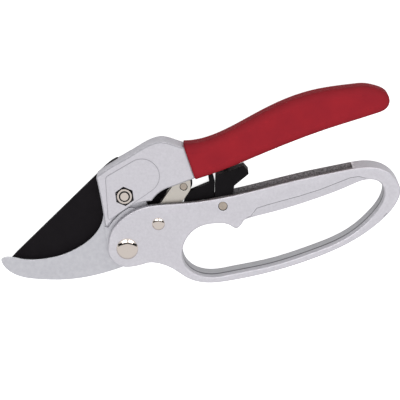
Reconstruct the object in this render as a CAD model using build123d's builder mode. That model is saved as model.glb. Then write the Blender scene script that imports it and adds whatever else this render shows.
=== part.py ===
from build123d import *
import os
from math import atan2, cos, degrees, dist, hypot, radians, sin, sqrt

# Ratchet pruning shears with a finger guard, closed and lying on their side.
# X runs towards the handles, Y towards the sleeved handle, and Z = 0 is the table.
# Plan points are given from the main pivot.

os.makedirs("parts", exist_ok=True)

# Place of the main pivot, which centres the whole part on the origin
PIVOT_X, PIVOT_Y = -37.8, -5.2

# Layers, from the table up
HANDLE_DEPTH = 16.0       # guarded handle, from side to side
CHEEK = 3.75              # each side wall of that handle's channel
BLADE_THICK = 2.8
JAW_THICK = 5.5
SIDE_GAP = 0.1            # between flat faces that slide on each other
LINK_GAP = 0.2            # beside the link and the lock in the channel
HEAD_BACK = 0.6           # the cast head stands this far off the table
HEAD_DEPTH = 14.4
BOSS_HEIGHT = 0.5         # raised field round the nut
GRIP_DEPTH = 16.0
GRIP_WALL = 2.0
WASHER_THICK = 0.5
LINK_SHEET = 1.3
ARM_PLAY = 0.25           # beside the spring arm between the link's cheeks
HOOK_DEPTH = 2.5

# Pivots in plan: the jaw's hub, the link's foot, the lock and the ratchet's first notch
HUB_X, HUB_Y = 1.2, -27.4
FOOT_X, FOOT_Y = 15.9, 13.1         # from the hub
LOCK_X, LOCK_Y = 48.6, 22.4         # from the hub
NOTCH_X, NOTCH_Y = 29.9, 4.1

# Round parts and fits
FIT = 0.05                # radial play of a turning pin
BOLT_RADIUS = 2.5
BOLT_HEAD_RADIUS = 4.9
BOLT_KEY = 3.0            # across the flats of the key hole in the bolt's head
BOLT_KEY_DEPTH = 1.6
BOLT_PROUD = 0.3          # bolt end past the nut
BOLT_BEVEL = 0.4
BUSH_RADIUS = 4.0
NUT_FLATS = 8.0
NUT_PLAY = 0.45           # between the nut's flats and its recess
NUT_TURN = 36.7           # the nut and its recess are turned this much
NUT_HEX_HEIGHT = 3.2
NUT_COLLAR_HEIGHT = 1.2
NUT_COLLAR_RADIUS = 3.75
NUT_SEAT = 2.0            # metal left under the nut
INSERT_RADIUS = 2.85
SCREW_RADIUS = 2.0
SCREW_HEAD_RADIUS = 3.6
SCREW_LENGTH = 9.0
SCREW_KEY = 2.5
SCREW_KEY_DEPTH = 1.2
SCREW_X, SCREW_Y = 12.0, 7.5
HUB_RIVET_RADIUS = 3.5
HUB_HEAD_RADIUS = 5.5
HUB_HEAD_HEIGHT = 2.4
WASHER_RADIUS = 8.0
WASHER_PLAY = 0.4
FOOT_RIVET_RADIUS = 2.0
FOOT_HEAD_RADIUS = 3.25
FOOT_HEAD_HEIGHT = 1.5
TAIL_INSET = 0.2          # rivet tails stay inside the handle's back
NOTCH_PIN_RADIUS = 2.0
NOTCH_TAIL_RADIUS = 1.75  # the pin's end in the ratchet slot
PIN_RECESS = 0.6          # pin ends lie this deep in their holes
PIN_BEVEL = 0.3
LOCK_PIN_RADIUS = 2.4
KEEPER_RADIUS = 1.25

# Blade and ratchet tang
BLADE_TIP = (-59.7, -36.0)
SPINE_KNEE = (-14.2, 8.9)
SPINE_EXIT = (-4.2, 17.2)
CUTTING_EDGE = [(-47.0, -38.6), (-32.0, -36.4), (-19.0, -28.4)]
BLADE_HEEL = (-11.0, -15.0)
TANG_LOW_LEFT = (10.5, -8.8)
TANG_LOW_RIGHT = (20.5, -8.2)
TANG_RADIUS = 4.4         # round end about the first notch
EDGE_BEVEL = 4.0
EDGE_LAND = 0.4           # left of the blade's thickness at its edge
BLADE_FIT = 0.2           # round the tang in the head's back
NOTCH_STEPS = [(-3.6, -3.5), (-7.4, -5.3), (-11.0, -5.8)]
SLOT_PLAY = 0.3
SLOT_FLOOR = 0.8          # the ratchet slot is open to the front only
NOTCH_SWING = 1.3         # how far the pin wanders about its notch as the handles open
NOTCH_SWING_ANGLE = 47.0

# Hook jaw
EYE_RADIUS = 9.5
JAW_HUB_RADIUS = 9.8
JAW_TIP = (-63.9, -35.1)
JAW_UPPER = [(-61.9, -33.9), (-53.5, -34.7), (-44.0, -34.9), (-32.4, -32.5), (-25.4, -29.3), (-18.5, -24.6),
             (-13.9, -19.3)]
JAW_NECK = (-11.4, -13.4)
JAW_LOWER = [(-62.4, -38.6), (-56.5, -43.1), (-44.2, -45.5), (-30.0, -45.6), (-13.3, -42.7), (-8.1, -41.2),
             (-2.9, -39.4)]
JAW_NECK_RIGHT = (12.0, -9.6)
RELIEF_START = (-64.8, -35.3)   # the jaw's cutting side leans back from here on
RELIEF_TOP = -10.0
RELIEF_LAND = 0.5               # left upright at the jaw's front
RELIEF_DEPTH = 1.4
RELIEF_PLAY = 0.2               # the wedge starts this far clear of the jaw
# Upper edge of the raised hub, which follows the head's lower edge
JAW_STEP = [(-10.4, -16.9), (-8.6, -17.4), (-6.1, -13.8), (-2.2, -9.9), (0.0, -8.3), (1.8, -7.1), (3.5, -6.9),
            (5.5, -7.5), (8.8, -8.6), (11.2, -9.8)]
POCKET_PLAY = 0.5         # round the jaw's eye in the head
JAW_OPEN = 30             # degrees that the jaw opens
OPEN_PLAY = 3             # degrees of room left past that

# Cast head
HEAD_CORNER = (-14.3, 10.0)
HEAD_LEFT = (-11.7, -3.9)
HEAD_TIP = (-9.8, -17.9)
HEAD_TOP_MID = (2.5, 20.6)
HEAD_PEAK = (18.3, 28.2)
HEAD_CUT_START = (13.8, -2.5)
HEAD_CUT_MID = (17.6, 1.7)
HEAD_CUT_END = (24.1, 4.8)
HEAD_TOP_SHARE = 0.92     # the head's end on the sleeve's end, from its lower corner
HEAD_LOW_SHARE = 0.06
LOBE_GAP = 2.9            # between the head's lower edge and the handle's round shoulder
LINK_ROOM = 6.8           # pocket about the first notch
JAW_ROOM_EDGE = 1.0       # the jaw's pocket is open below this
CAST_ROUND = 0.8
CORNER_ROUND = 1.5
TIP_ROUND = 0.95
BOSS_CORNERS = [((8.8, 10.4), 9.1), ((-7.0, 8.6), 2.6), ((-7.6, -11.2), 1.0)]
BOSS_BEVEL = 0.35

# Sleeved grip
GRIP_TOP = [(29.8, 26.5), (43.8, 29.2), (67.6, 41.4), (97.1, 53.1), (116.0, 55.9), (127.0, 54.9)]
GRIP_END = (133.0, 50.1)
GRIP_LOW = [(128.4, 42.8), (118.8, 39.6), (100.5, 33.6), (61.6, 17.9), (50.9, 13.4), (36.1, 8.1)]
GRIP_ROUND = 4.2
TANG_REACH = 2.5          # the tang runs this far into the head

# Guarded handle, in plan from the jaw's hub
HANDLE_END_RADIUS = 9.9
SHOULDER_LEFT, SHOULDER_TOP = -12.6, 22.8   # outer reach of the shoulder's circle
SHOULDER_RADIUS = 29.3
SHOULDER_FROM, SHOULDER_TO = 97.8, 145.7
BACK_DROP = 5.0           # the back cheek's shoulder is this much smaller
BACK_STEP_X = 32.8        # the back cheek rises from here to its full height
BACK_RISE = (38.8, 27.7)
HANDLE_TOP = [(29.4, 23.9), (64.8, 30.5), (88.4, 36.5), (110.8, 41.3), (121.2, 42.8)]
HANDLE_NOSE = [(130.5, 40.9), (135.4, 37.0), (138.3, 30.4), (136.6, 24.3)]
GUARD_OUT = [(128.3, 14.1), (113.3, 3.2), (93.1, -6.0), (72.7, -12.6), (52.3, -17.1), (42.1, -18.2)]
GUARD_FOOT = [(31.9, -16.3), (21.7, -10.0), (11.7, -7.5)]
SPUR = [(58.9, 14.2), (57.2, 11.7), (55.5, 10.6), (53.0, 11.8)]
LOOP_FRONT = [(50.3, 13.0), (44.6, 13.2), (37.0, 11.5), (31.3, 6.9), (28.0, -1.4), (29.5, -8.4)]
LOOP_LOW = [(33.8, -12.7), (42.1, -15.0), (52.4, -13.6), (73.0, -9.2), (93.4, -2.4), (113.7, 7.3)]
LOOP_NOSE = [(124.0, 16.7), (129.3, 24.6), (130.2, 30.6), (127.4, 35.0), (122.3, 36.2)]
BAR_UNDER = [(112.7, 33.0), (92.6, 25.1), (72.4, 18.8), (62.3, 16.1)]
HANDLE_ROUND = 0.9
FORK_REACH = 10.8         # the fork is open up to here
HUB_ROOM = 0.6            # round the jaw's hub in the fork
CHANNEL_FLOOR = [(13.4, 7.4), (18.4, 7.4), (21.8, 12.0), (29.8, 15.9), (42.8, 17.0), (54.2, 17.2),
                 (59.0, 21.6), (88.4, 29.4), (114.0, 36.6)]

# Comfort bevel over the fingers, in plan from the hub: its upper edge and how far it cuts past the opening's edge
BEVEL_TOP = [(62.4, 16.7), (65.8, 21.4), (70.9, 23.1), (87.5, 27.8), (97.6, 31.1), (112.6, 37.2), (117.0, 37.9),
             (121.6, 36.7)]
BEVEL_LOW = [(62.5, 15.6), (66.6, 16.2), (72.3, 17.7), (90.0, 23.1), (100.3, 26.9), (114.3, 32.4), (118.6, 34.2),
             (122.0, 35.5)]
BEVEL_DEPTH = 2.0

# Link, from its foot
FOOT_RADIUS = 4.55
LINK_CORNERS = [((-2.3, 2.6), 1.6), ((2.0, 2.3), 1.5), ((2.0, -0.8), 1.5)]     # round corners from the notch
WEB_START, WEB_END = 3.0, 13.5
SPACER_WALL = 0.35
WIRE = 0.6
COIL_TURNS = 1
COIL_STEPS = 6
COIL_END_GAP = 0.3        # between the coil and the link's cheeks
SPRING_SPOTS = 400        # points that the spring's gap is measured on
COIL_PLAY = 0.1
LEG_UP, LEG_ALONG = 8.0, 9.0
LEG_ANGLE = 26.0          # slope of the leg in the channel

# Thumb lock, in plan from its pin
LOCK_HUB = 4.2
LOCK_LEFT = (-3.9, 11.5)
LOCK_TOP_LEFT = (-3.8, 14.9)
LOCK_TOP_RIGHT = (10.4, 20.1)
LOCK_CUT = (12.8, 17.4)
LOCK_TIP = (13.0, 15.8)
LOCK_WAIST = (5.8, 9.8)
KEEPER_X, KEEPER_Y = -2.8, 22.2
HOOK_LEFT, HOOK_RIGHT = 0.25, 2.7
HOOK_NOSE = -0.6
HOOK_UNDER, HOOK_TOP = 23.8, 25.3
LOCK_ROOM = 0.7
KEEPER_ROOM = 2.6         # pocket left of the keeper pin

# Return spring arm, in plan from the lock's pin
ARM_TOP_LEFT = (-18.3, 5.8)
ARM_TOP_RIGHT = (-6.9, 10.7)
FINGER_TOP_LEFT = (-7.5, 15.0)
FINGER_TOP_RIGHT = (-5.2, 15.2)
FINGER_SIDE = (-4.05, 10.8)
ARM_RIGHT = -4.75
ARM_LEFT = -21.8


def shifted(origin, point):
    """A plan point that is given from another plan point."""
    return (origin[0] + point[0], origin[1] + point[1])


def polar(center, radius, angle):
    """The plan point at a radius and an angle in degrees from a centre."""
    return (center[0] + radius * cos(radians(angle)), center[1] + radius * sin(radians(angle)))


def touch_angle(center, radius, point, side):
    """Angle on a circle where a line from an outside point touches it; side is +1 or -1."""
    away = (point[0] - center[0], point[1] - center[1])
    half = degrees(atan2(sqrt(away[0]**2 + away[1]**2 - radius**2), radius))
    return degrees(atan2(away[1], away[0])) + side * half


def between(first, second, share):
    """The plan point at a share of the way between two others."""
    return (first[0] + share * (second[0] - first[0]), first[1] + share * (second[1] - first[1]))


def plan(level):
    """The horizontal plane at a height above the table, centred on the main pivot."""
    return Plane(origin=(PIVOT_X, PIVOT_Y, level))


def bar(center, radius, low, high, mode=Mode.ADD):
    """A round bar, or a round hole, standing between two levels."""
    with Locations((PIVOT_X + center[0], PIVOT_Y + center[1], low)):
        Cylinder(radius, high - low, align=(Align.CENTER, Align.CENTER, Align.MIN), mode=mode)


def taper(center, wide, narrow, low, mode=Mode.ADD):
    """A right-angled cone that narrows upwards from a level, for countersunk heads."""
    with Locations((PIVOT_X + center[0], PIVOT_Y + center[1], low)):
        Cone(wide, narrow, wide - narrow, align=(Align.CENTER, Align.CENTER, Align.MIN), mode=mode)


def dome(center, radius, height, level):
    """A low round rivet head standing on a level."""
    ball = (radius**2 + height**2) / (2 * height)
    half_way = height - ball + sqrt(ball**2 - radius**2 / 4)
    side = Plane(origin=(PIVOT_X + center[0], PIVOT_Y + center[1], level), x_dir=(1, 0, 0), z_dir=(0, -1, 0))
    with BuildSketch(side) as cap:
        with BuildLine():
            Line((0, 0), (radius, 0))
            ThreePointArc((radius, 0), (radius / 2, half_way), (0, height))
            Line((0, height), (0, 0))
        make_face()
    revolve(cap.sketch, axis=Axis(side.origin, (0, 0, 1)))


def save(built, label):
    """Name a finished sub-part and write its file."""
    built.part.label = label
    export_step(built.part, f"parts/{label}.step")


# Plan points and levels that follow from the sizes
PIVOT = (0, 0)
HUB = (HUB_X, HUB_Y)
FOOT = shifted(HUB, (FOOT_X, FOOT_Y))
LOCK = shifted(HUB, (LOCK_X, LOCK_Y))
NOTCH = (NOTCH_X, NOTCH_Y)
SCREW = (SCREW_X, SCREW_Y)
SHOULDER = shifted(HUB, (SHOULDER_LEFT + SHOULDER_RADIUS, SHOULDER_TOP - SHOULDER_RADIUS))
KEEPER = shifted(LOCK, (KEEPER_X, KEEPER_Y))
CHANNEL_TOP = HANDLE_DEPTH - CHEEK
BLADE_BACK = CHEEK - BLADE_THICK
JAW_BACK = CHEEK + SIDE_GAP
JAW_FRONT = JAW_BACK + JAW_THICK
HUB_BACK = CHEEK + WASHER_THICK + SIDE_GAP
HUB_FRONT = CHANNEL_TOP - WASHER_THICK - SIDE_GAP
HEAD_FRONT = HEAD_BACK + HEAD_DEPTH
JAW_ROOM_TOP = JAW_FRONT + SIDE_GAP
NUT_FLOOR = JAW_ROOM_TOP + NUT_SEAT
NUT_SHOULDER = NUT_FLOOR + NUT_HEX_HEIGHT
NUT_TOP = NUT_SHOULDER + NUT_COLLAR_HEIGHT
LINK_BACK = CHEEK + LINK_GAP
LINK_FRONT = CHANNEL_TOP - LINK_GAP
FAR = 2 * hypot(*GRIP_END)                      # reach of cuts that run out of the part


def blade_outline():
    """The closed plan outline of the blade with its ratchet tang."""
    spine_end = polar(NOTCH, TANG_RADIUS, touch_angle(NOTCH, TANG_RADIUS, SPINE_EXIT, -1))
    low_end = polar(NOTCH, TANG_RADIUS, touch_angle(NOTCH, TANG_RADIUS, TANG_LOW_RIGHT, 1))
    rise = (SPINE_KNEE[0] - BLADE_TIP[0], SPINE_KNEE[1] - BLADE_TIP[1])
    fall = (spine_end[0] - SPINE_EXIT[0], spine_end[1] - SPINE_EXIT[1])
    over = (rise[0] + fall[0], rise[1] + fall[1])
    Line(BLADE_TIP, SPINE_KNEE)
    Spline([SPINE_KNEE, SPINE_EXIT], tangents=[rise, over])
    Line(SPINE_EXIT, spine_end)
    ThreePointArc(spine_end, (NOTCH_X + TANG_RADIUS, NOTCH_Y), low_end)
    Polyline(low_end, TANG_LOW_RIGHT, TANG_LOW_LEFT, BLADE_HEEL)
    Spline([BLADE_HEEL, *reversed(CUTTING_EDGE), BLADE_TIP], tangents=[(-0.5, -1), (-1, 0.35)])


def inset(points, amount):
    """Points of a clockwise outline, each moved inwards."""
    moved = []
    for index, point in enumerate(points):
        before, after = points[max(index - 1, 0)], points[min(index + 1, len(points) - 1)]
        length = hypot(after[0] - before[0], after[1] - before[1])
        moved.append((point[0] + amount * (after[1] - before[1]) / length,
                      point[1] - amount * (after[0] - before[0]) / length))
    return moved


def grip_outline(amount, reach):
    """The closed plan outline of the sleeve, moved inwards, and run on towards the head by a reach."""
    points = inset(GRIP_TOP + [GRIP_END] + GRIP_LOW, amount)
    top, low = points[:len(GRIP_TOP)], points[len(GRIP_TOP) + 1:]
    start, stop = shifted(low[-1], (-reach, -0.34 * reach)), shifted(top[0], (-reach, 0))
    if reach > 0:
        Line(low[-1], start)
        Line(stop, top[0])
    Line(start, stop)
    Spline(top, tangents=[(1, 0), (1, -0.3)])
    Spline(points[len(GRIP_TOP) - 1:len(GRIP_TOP) + 2], tangents=[(1, -0.3), (-1, -0.35)])
    Spline(low, tangents=[(-1, -0.35), (-1, -0.34)])


with BuildPart() as blade:
    with BuildSketch(plan(BLADE_BACK)):
        with BuildLine():
            blade_outline()
        make_face()
    extrude(amount=BLADE_THICK)
    edge_middle = (PIVOT_X + CUTTING_EDGE[1][0], PIVOT_Y + CUTTING_EDGE[1][1], BLADE_BACK)
    cutting = blade.edges().group_by(Axis.Z)[0].sort_by_distance(edge_middle)[0]
    chamfer(cutting, length=BLADE_THICK - EDGE_LAND, length2=EDGE_BEVEL)
    with BuildSketch(plan(BLADE_BACK + SLOT_FLOOR)):
        steps = [shifted(NOTCH, step) for step in NOTCH_STEPS]
        with Locations(*steps):
            Circle(NOTCH_TAIL_RADIUS + SLOT_PLAY)
        for start, stop in zip([NOTCH, *steps], steps):
            with Locations(between(start, stop, 0.5)):
                SlotCenterToCenter(hypot(stop[0] - start[0], stop[1] - start[1]), 2 * NOTCH_TAIL_RADIUS,
                                   rotation=degrees(atan2(stop[1] - start[1], stop[0] - start[0])))
        with Locations(NOTCH):
            SlotCenterToCenter(2 * NOTCH_SWING, 2 * (NOTCH_TAIL_RADIUS + SLOT_PLAY),
                               rotation=NOTCH_SWING_ANGLE)
    extrude(amount=BLADE_THICK, mode=Mode.SUBTRACT)
    for place, head, shank in [(PIVOT, BOLT_HEAD_RADIUS, BOLT_RADIUS), (SCREW, SCREW_HEAD_RADIUS, SCREW_RADIUS)]:
        bar(place, shank + FIT, BLADE_BACK, CHEEK, Mode.SUBTRACT)
        taper(place, head + FIT, shank + FIT, BLADE_BACK, Mode.SUBTRACT)

# Core of the sleeved handle, one casting with the head
with BuildPart() as grip_core:
    with BuildSketch(plan(GRIP_WALL)):
        with BuildLine():
            grip_outline(GRIP_WALL, TANG_REACH)
        make_face()
    extrude(amount=GRIP_DEPTH - 2 * GRIP_WALL)

# Space that the lock's hook swings in, inside the sleeved handle
with BuildPart() as hook_room:
    with BuildSketch(plan(CHEEK)):
        with Locations(LOCK):
            Circle(hypot(HOOK_RIGHT, HOOK_TOP) + LOCK_ROOM)
        with Locations((KEEPER[0] - KEEPER_RADIUS - KEEPER_ROOM, KEEPER[1])):
            Rectangle(FAR, FAR, align=(Align.MIN, Align.CENTER), mode=Mode.INTERSECT)
    extrude(amount=CHANNEL_TOP - CHEEK)

with BuildPart() as upper_handle:
    head_low = polar(SHOULDER, SHOULDER_RADIUS + LOBE_GAP, (SHOULDER_FROM + SHOULDER_TO) / 2)
    head_top_end = between(GRIP_LOW[-1], GRIP_TOP[0], HEAD_TOP_SHARE)
    head_low_end = between(GRIP_LOW[-1], GRIP_TOP[0], HEAD_LOW_SHARE)
    with BuildSketch(plan(HEAD_BACK)) as head_face:
        with BuildLine():
            ThreePointArc(HEAD_CORNER, HEAD_LEFT, HEAD_TIP)
            ThreePointArc(HEAD_TIP, head_low, HEAD_CUT_START)
            ThreePointArc(HEAD_CUT_START, HEAD_CUT_MID, HEAD_CUT_END)
            Polyline(HEAD_CUT_END, head_low_end, head_top_end)
            Spline([head_top_end, HEAD_PEAK, HEAD_TOP_MID, HEAD_CORNER], tangents=[(-1, 0.25), (-1, -0.75)])
        make_face()
        fillet(head_face.vertices().sort_by_distance(HEAD_CORNER)[0], CORNER_ROUND)
        fillet(head_face.vertices().sort_by_distance(HEAD_TIP)[0], TIP_ROUND)
    extrude(amount=HEAD_DEPTH)
    fillet(upper_handle.edges().group_by(Axis.Z)[-1] + upper_handle.edges().group_by(Axis.Z)[0], CAST_ROUND)
    with BuildSketch(plan(HEAD_FRONT)):
        for place, radius in BOSS_CORNERS:
            with Locations(place):
                Circle(radius)
        make_hull()
    extrude(amount=BOSS_HEIGHT)
    chamfer(upper_handle.edges().group_by(Axis.Z)[-1], BOSS_BEVEL)
    add(grip_core.part)
    tang_lean = touch_angle(NOTCH, TANG_RADIUS, SPINE_EXIT, -1)
    room_end = polar(NOTCH, TANG_RADIUS + BLADE_FIT, tang_lean)
    room_start = shifted(room_end, polar(PIVOT, FAR, tang_lean + 90))
    with BuildSketch(plan(0)):
        with BuildLine():
            Polyline(room_start, room_end, (room_end[0], -FAR), (room_start[0], -FAR), close=True)
        make_face()
        with Locations(NOTCH):
            Circle(TANG_RADIUS + BLADE_FIT)
    extrude(amount=CHEEK, mode=Mode.SUBTRACT)
    neck_reach = hypot(*JAW_NECK_RIGHT)
    neck_angle = degrees(atan2(JAW_NECK_RIGHT[1], JAW_NECK_RIGHT[0])) + JAW_OPEN + OPEN_PLAY
    neck_side = touch_angle(PIVOT, EYE_RADIUS, JAW_NECK_RIGHT, 1) + JAW_OPEN + OPEN_PLAY
    with BuildSketch(plan(CHEEK)):
        Circle(EYE_RADIUS + POCKET_PLAY)
        with Locations((0, JAW_ROOM_EDGE)):
            Rectangle(FAR, FAR, align=(Align.CENTER, Align.MAX))
        with BuildLine():
            open_side = polar(PIVOT, EYE_RADIUS, neck_side)
            open_corner = polar(PIVOT, neck_reach, neck_angle)
            Polyline(PIVOT, open_side, open_corner, close=True)
        make_face()
    extrude(amount=JAW_ROOM_TOP - CHEEK, mode=Mode.SUBTRACT)
    with BuildSketch(plan(CHEEK)):
        with Locations(NOTCH):
            Circle(LINK_ROOM)
        with Locations((NOTCH_X - LINK_ROOM, NOTCH_Y)):
            Rectangle(FAR, FAR, align=(Align.MIN, Align.MAX))
    extrude(amount=CHANNEL_TOP - CHEEK, mode=Mode.SUBTRACT)
    with BuildSketch(plan(NUT_FLOOR)):
        RegularPolygon(NUT_FLATS / 2 + NUT_PLAY, 6, major_radius=False, rotation=NUT_TURN)
    extrude(amount=HEAD_DEPTH, mode=Mode.SUBTRACT)
    bar(PIVOT, BOLT_RADIUS + FIT, JAW_ROOM_TOP, NUT_FLOOR, Mode.SUBTRACT)
    bar(SCREW, SCREW_RADIUS, CHEEK, BLADE_BACK + SCREW_LENGTH, Mode.SUBTRACT)
    add(hook_room.part, mode=Mode.SUBTRACT)
    bar(KEEPER, KEEPER_RADIUS, GRIP_WALL, GRIP_DEPTH - GRIP_WALL, Mode.SUBTRACT)

with BuildPart() as grip_sleeve:
    with BuildSketch(plan(0)):
        with BuildLine():
            grip_outline(0, 0)
        make_face()
    extrude(amount=GRIP_DEPTH)
    rims = grip_sleeve.edges().group_by(Axis.Z)[-1] + grip_sleeve.edges().group_by(Axis.Z)[0]
    fillet(rims.sort_by(Axis.X)[2:], GRIP_ROUND)
    add(grip_core.part, mode=Mode.SUBTRACT)
    add(hook_room.part, mode=Mode.SUBTRACT)

# Wedge that the jaw's cutting side loses, so that it leans away from the blade
with BuildPart() as jaw_relief:
    for level, drop in ((JAW_FRONT - RELIEF_LAND, -RELIEF_PLAY), (JAW_BACK - RELIEF_PLAY, RELIEF_DEPTH)):
        lean = [shifted(point, (0, -drop)) for point in (RELIEF_START, *JAW_UPPER, JAW_NECK)]
        with BuildSketch(plan(level)):
            with BuildLine():
                Spline(lean)
                Polyline(lean[-1], (lean[-1][0], RELIEF_TOP), (lean[0][0], RELIEF_TOP), lean[0])
            make_face()
    loft(ruled=True)

with BuildPart() as hook_jaw:
    with BuildSketch(plan(JAW_BACK)):
        with BuildLine():
            eye_left = polar(PIVOT, EYE_RADIUS, touch_angle(PIVOT, EYE_RADIUS, JAW_NECK, -1))
            eye_right = polar(PIVOT, EYE_RADIUS, touch_angle(PIVOT, EYE_RADIUS, JAW_NECK_RIGHT, 1))
            hub_right = polar(HUB, JAW_HUB_RADIUS, touch_angle(HUB, JAW_HUB_RADIUS, JAW_NECK_RIGHT, -1))
            hub_low = polar(HUB, JAW_HUB_RADIUS, touch_angle(HUB, JAW_HUB_RADIUS, JAW_LOWER[-1], 1))
            hub_run = (hub_low[1] - HUB_Y, HUB_X - hub_low[0])
            Spline([JAW_TIP, *JAW_UPPER, JAW_NECK])
            Polyline(JAW_NECK, eye_left, eye_right, JAW_NECK_RIGHT, hub_right, hub_low)
            Spline([hub_low, *reversed(JAW_LOWER), JAW_TIP], tangents=[hub_run, (-0.1, 1)])
        make_face()
        Circle(EYE_RADIUS)
        with Locations(HUB):
            Circle(JAW_HUB_RADIUS)
    extrude(amount=JAW_THICK)
    with BuildSketch(plan(JAW_FRONT)):
        with Locations(HUB):
            Circle(JAW_HUB_RADIUS)
        with BuildLine():
            step_left = polar(HUB, JAW_HUB_RADIUS, touch_angle(HUB, JAW_HUB_RADIUS, JAW_STEP[0], 1))
            step_right = polar(HUB, JAW_HUB_RADIUS, touch_angle(HUB, JAW_HUB_RADIUS, JAW_STEP[-1], -1))
            Polyline(HUB, step_left, *JAW_STEP, step_right, close=True)
        make_face()
    extrude(amount=HUB_FRONT - JAW_FRONT)
    bar(PIVOT, BUSH_RADIUS + FIT, JAW_BACK, JAW_FRONT, Mode.SUBTRACT)
    bar(HUB, HUB_RIVET_RADIUS + FIT, JAW_BACK, HUB_FRONT, Mode.SUBTRACT)
    bar(HUB, WASHER_RADIUS + WASHER_PLAY, JAW_BACK, HUB_BACK, Mode.SUBTRACT)
    add(jaw_relief.part, mode=Mode.SUBTRACT)

# Wedges that the bar over the fingers loses on both sides
with BuildPart() as finger_bevel:
    for top, low in zip(BEVEL_TOP, BEVEL_LOW):
        width = hypot(low[0] - top[0], low[1] - top[1])
        edge = shifted(HUB, top)
        across = ((low[0] - top[0]) / width, (low[1] - top[1]) / width, 0)
        section = Plane(origin=(PIVOT_X + edge[0], PIVOT_Y + edge[1], HANDLE_DEPTH), x_dir=across,
                        z_dir=(-across[1], across[0], 0))
        drop = BEVEL_DEPTH * min(1, width / 5)
        with BuildSketch(section):
            with BuildLine():
                Polyline((0, 0), (width, -drop), (width, 1), close=True)
            make_face()
    loft(ruled=True)
with BuildPart() as back_bevel:
    mirror(finger_bevel.part, about=Plane(origin=(0, 0, HANDLE_DEPTH / 2)))

with BuildPart() as lower_handle:
    with BuildSketch(plan(0)):
        with BuildLine():
            shoulder_start = polar(SHOULDER, SHOULDER_RADIUS, SHOULDER_TO)
            shoulder_end = polar(SHOULDER, SHOULDER_RADIUS, SHOULDER_FROM)
            shoulder_top = polar(SHOULDER, SHOULDER_RADIUS, (SHOULDER_FROM + SHOULDER_TO) / 2)
            end_start = polar(HUB, HANDLE_END_RADIUS, -83)
            end_stop = polar(HUB, HANDLE_END_RADIUS, 170)
            ThreePointArc(shoulder_start, shoulder_top, shoulder_end)
            outer = [shifted(HUB, point) for point in HANDLE_TOP + HANDLE_NOSE + GUARD_OUT + GUARD_FOOT]
            Spline([shoulder_end, *outer, end_start],
                   tangents=[polar(PIVOT, 1, SHOULDER_FROM - 90), polar(PIVOT, 1, -173)])
            ThreePointArc(end_start, polar(HUB, HANDLE_END_RADIUS, -135), end_stop)
            Spline([end_stop, shoulder_start], tangents=[polar(PIVOT, 1, 80), polar(PIVOT, 1, SHOULDER_TO - 90)])
        make_face()
        with BuildLine():
            loop = SPUR + LOOP_FRONT + LOOP_LOW + LOOP_NOSE + BAR_UNDER
            Spline([shifted(HUB, point) for point in loop], periodic=True)
        make_face(mode=Mode.SUBTRACT)
    extrude(amount=HANDLE_DEPTH)
    fillet(lower_handle.edges().group_by(Axis.Z)[-1] + lower_handle.edges().group_by(Axis.Z)[0], HANDLE_ROUND)
    with BuildSketch(plan(CHEEK)):
        with Locations(HUB):
            Circle(JAW_HUB_RADIUS + HUB_ROOM)
        with Locations((HUB_X + FORK_REACH, HUB_Y)):
            Rectangle(FAR, FAR, align=(Align.MAX, Align.CENTER))
        with BuildLine():
            floor = [shifted(HUB, point) for point in CHANNEL_FLOOR]
            Polyline((HUB_X, HUB_Y), *floor, (floor[-1][0], HUB_Y + FAR), (HUB_X, HUB_Y + FAR), close=True)
        make_face()
    extrude(amount=CHANNEL_TOP - CHEEK, mode=Mode.SUBTRACT)
    with BuildSketch(plan(0)):
        with BuildLine():
            back_top = HUB_Y + SHOULDER_TOP - BACK_DROP
            back = [(SHOULDER[0], back_top), (HUB_X + BACK_STEP_X, back_top), shifted(HUB, BACK_RISE)]
            Polyline((SHOULDER[0] - FAR, SHOULDER[1]), SHOULDER, *back, (back[-1][0], HUB_Y + FAR),
                     (SHOULDER[0] - FAR, HUB_Y + FAR), close=True)
        make_face()
        with Locations(SHOULDER):
            Circle(SHOULDER_RADIUS - BACK_DROP, mode=Mode.SUBTRACT)
        with Locations(HUB):
            Circle(HANDLE_END_RADIUS, mode=Mode.SUBTRACT)
    extrude(amount=CHEEK, mode=Mode.SUBTRACT)
    for place, radius in [(HUB, HUB_RIVET_RADIUS), (FOOT, FOOT_RIVET_RADIUS), (LOCK, LOCK_PIN_RADIUS)]:
        bar(place, radius, 0, HANDLE_DEPTH, Mode.SUBTRACT)
    add(finger_bevel.part, mode=Mode.SUBTRACT)
    add(back_bevel.part, mode=Mode.SUBTRACT)

with BuildPart() as handle_rivet:
    bar(HUB, HUB_RIVET_RADIUS, TAIL_INSET, HANDLE_DEPTH)
    dome(HUB, HUB_HEAD_RADIUS, HUB_HEAD_HEIGHT, HANDLE_DEPTH)

with BuildPart() as link_rivet:
    bar(FOOT, FOOT_RIVET_RADIUS, TAIL_INSET, HANDLE_DEPTH)
    dome(FOOT, FOOT_HEAD_RADIUS, FOOT_HEAD_HEIGHT, HANDLE_DEPTH)

with BuildPart() as hub_washers:
    for level in (CHEEK, CHANNEL_TOP - WASHER_THICK):
        bar(HUB, WASHER_RADIUS, level, level + WASHER_THICK)
        bar(HUB, HUB_RIVET_RADIUS, level, level + WASHER_THICK, Mode.SUBTRACT)

with BuildPart() as pivot_bush:
    bar(PIVOT, BUSH_RADIUS, CHEEK, JAW_ROOM_TOP)
    bar(PIVOT, BOLT_RADIUS + FIT, CHEEK, JAW_ROOM_TOP, Mode.SUBTRACT)

with BuildPart() as pivot_bolt:
    bar(PIVOT, BOLT_RADIUS, BLADE_BACK, NUT_TOP + BOLT_PROUD)
    chamfer(pivot_bolt.edges().group_by(Axis.Z)[-1], BOLT_BEVEL)
    taper(PIVOT, BOLT_HEAD_RADIUS, BOLT_RADIUS, BLADE_BACK)
    with BuildSketch(plan(BLADE_BACK)):
        RegularPolygon(BOLT_KEY / 2, 6, major_radius=False)
    extrude(amount=BOLT_KEY_DEPTH, mode=Mode.SUBTRACT)

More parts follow.
